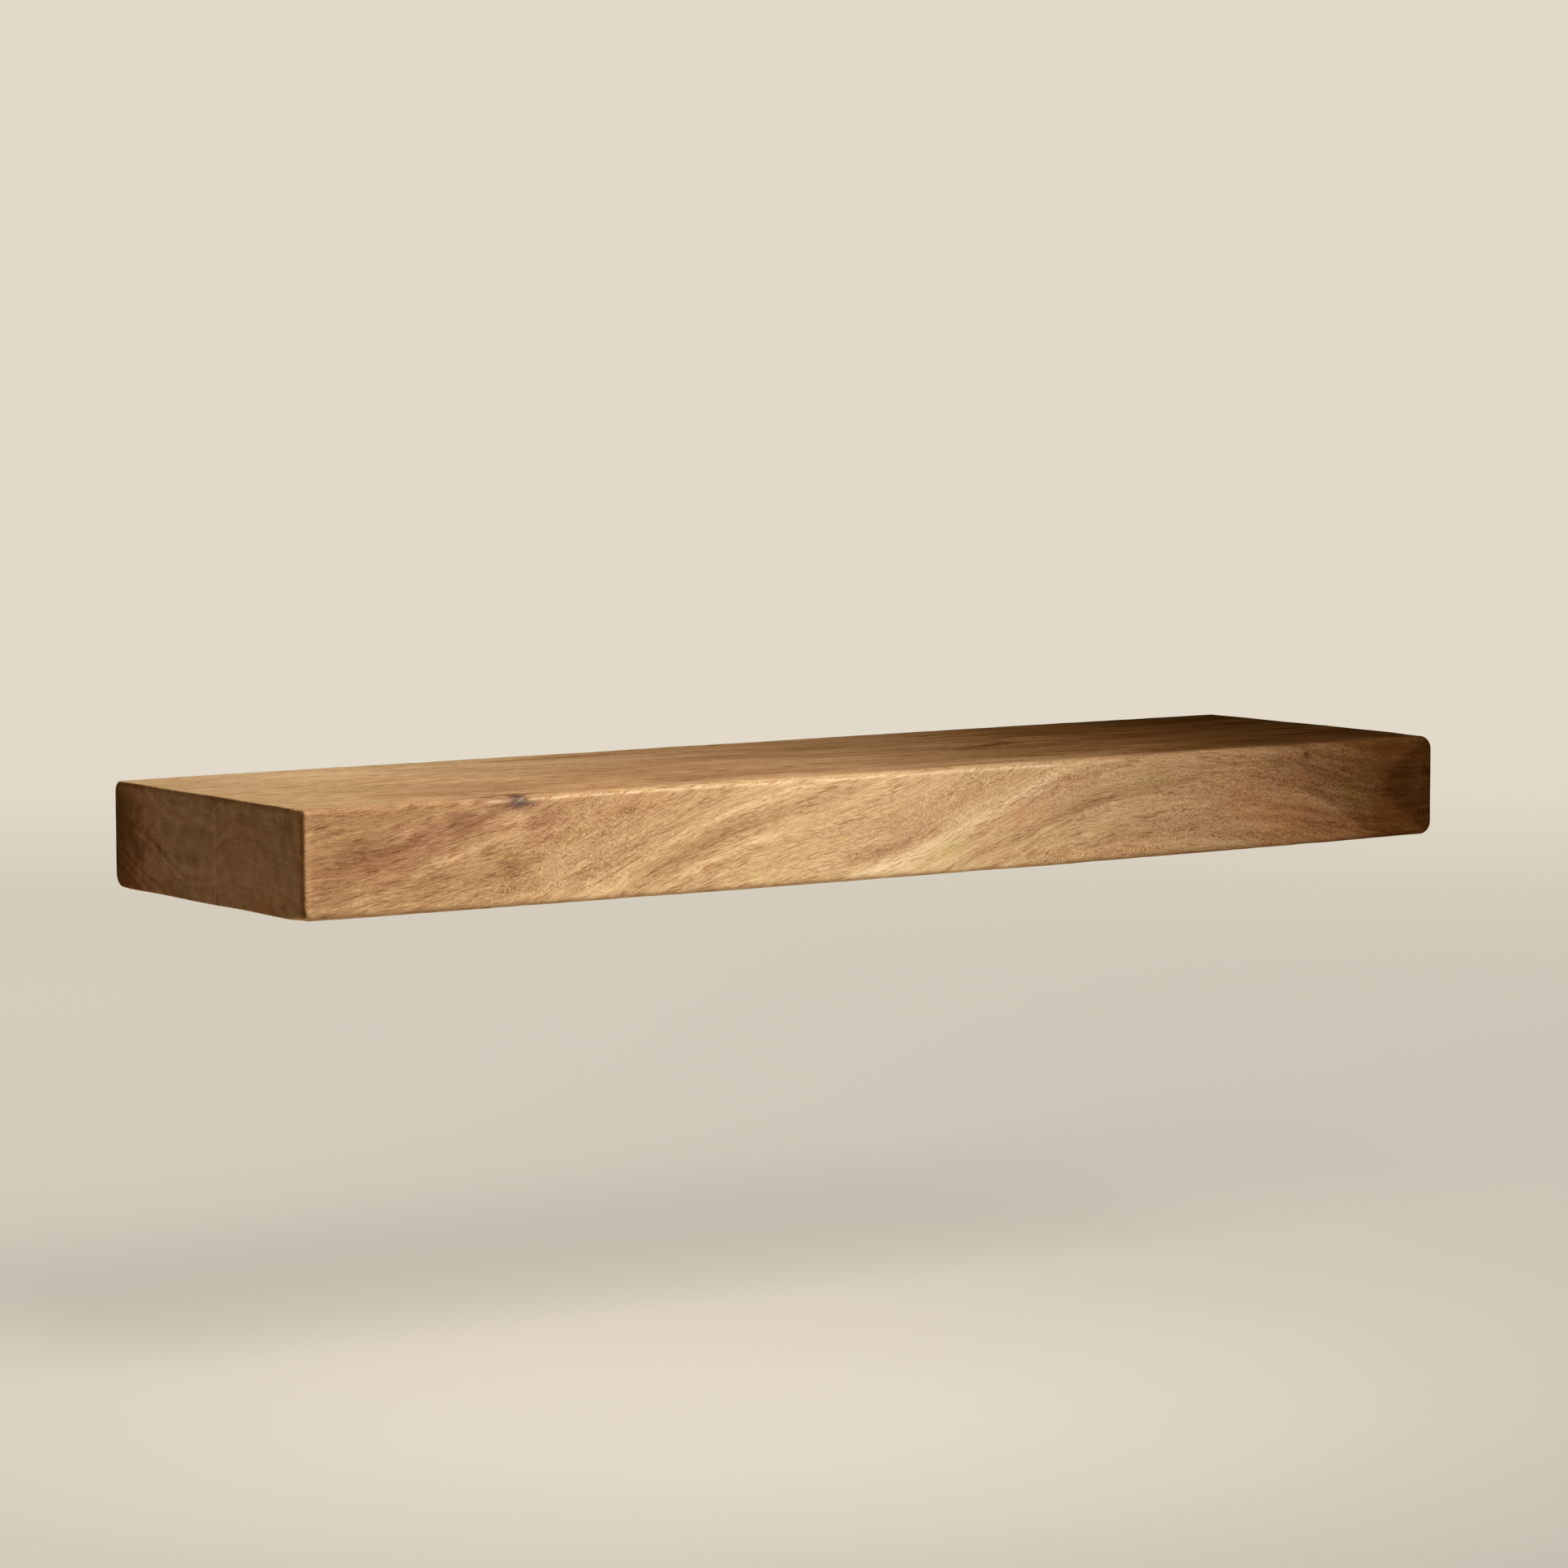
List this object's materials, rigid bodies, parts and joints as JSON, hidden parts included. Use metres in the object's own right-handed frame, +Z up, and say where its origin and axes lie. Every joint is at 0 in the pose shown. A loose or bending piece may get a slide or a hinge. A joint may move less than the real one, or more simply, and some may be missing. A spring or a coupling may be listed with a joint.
{
  "type": "floating wall shelf",
  "caption": "Thick solid-wood floating shelf with softly rounded edges, slid onto rods of a steel wall plate hidden in a recess in its back.",
  "frame": {"origin": "centre of the board's back face, on the surface of the wall, at mid-height of the board's ends and of the rods", "axes": "+X along the shelf to the right as seen from the front, +Y into the wall, +Z up"},
  "size_m": [0.6, 0.2082, 0.047],
  "materials": {
    "mango_wood": "oiled and waxed, satin",
    "black_steel": "matt black powder coat",
    "zinc_steel": "bright zinc plated",
    "nylon": "moulded grey nylon"
  },
  "bodies": {
    "bracket": {"bracket_plate": "black_steel", "support_rod_left": "black_steel", "support_rod_middle": "black_steel", "support_rod_right": "black_steel", "rod_screw_left": "zinc_steel", "rod_screw_middle": "zinc_steel", "rod_screw_right": "zinc_steel", "wall_screw_1": "zinc_steel", "wall_screw_2": "zinc_steel", "wall_screw_3": "zinc_steel", "wall_screw_4": "zinc_steel", "wall_screw_5": "zinc_steel", "wall_screw_6": "zinc_steel", "wall_plug_1": "nylon", "wall_plug_2": "nylon", "wall_plug_3": "nylon", "wall_plug_4": "nylon", "wall_plug_5": "nylon", "wall_plug_6": "nylon"},
    "board": {"rear_stave": "mango_wood", "front_stave": "mango_wood"}
  },
  "joints": [
    {"name": "board_slide", "type": "slide", "parent": "bracket", "child": "board", "axis": [0, -1, 0], "range_m": [0, 0.12]}
  ]
}
